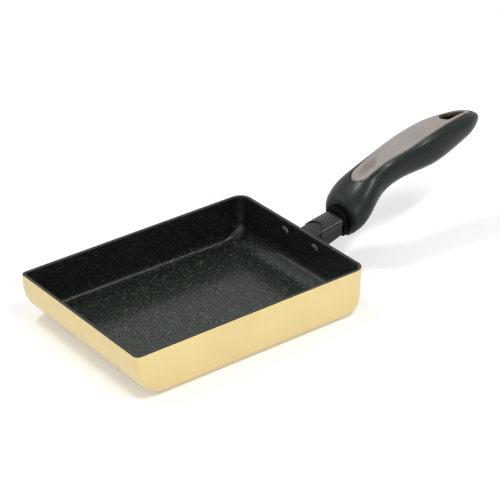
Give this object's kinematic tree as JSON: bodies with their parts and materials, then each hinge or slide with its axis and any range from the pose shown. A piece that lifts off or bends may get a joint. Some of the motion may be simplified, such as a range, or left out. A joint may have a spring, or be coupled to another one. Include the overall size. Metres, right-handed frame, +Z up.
{
  "type": "tamagoyaki pan",
  "caption": "Small rectangular pan for rolled omelettes: flat floor, low walls, a riveted bracket with a bent cover, and a curved moulded grip with an inset top cover and a hanging slot.",
  "frame": {"origin": "middle of the flat face that the pan rests on, halfway along and across the rim", "axes": "+Z up out of the pan, +X from the pan towards the tip of the handle, +Y across the pan"},
  "size_m": [0.3435, 0.14, 0.081],
  "materials": {
    "pan_coat": "satin",
    "rivet_metal": "satin",
    "bracket_metal": "satin",
    "guard_metal": "satin",
    "ring_plastic": "gloss",
    "grip_plastic": "satin",
    "inlay_plastic": "satin",
    "screw_steel": "satin"
  },
  "bodies": {
    "root": {"pan_body": "pan_coat", "rivet_left": "rivet_metal", "rivet_right": "rivet_metal", "handle_bracket": "bracket_metal", "flame_guard": "guard_metal", "mouth_ring": "ring_plastic", "grip_body": "grip_plastic", "grip_inlay": "inlay_plastic", "handle_screw": "screw_steel", "screw_washer": "screw_steel"}
  },
  "joints": []
}
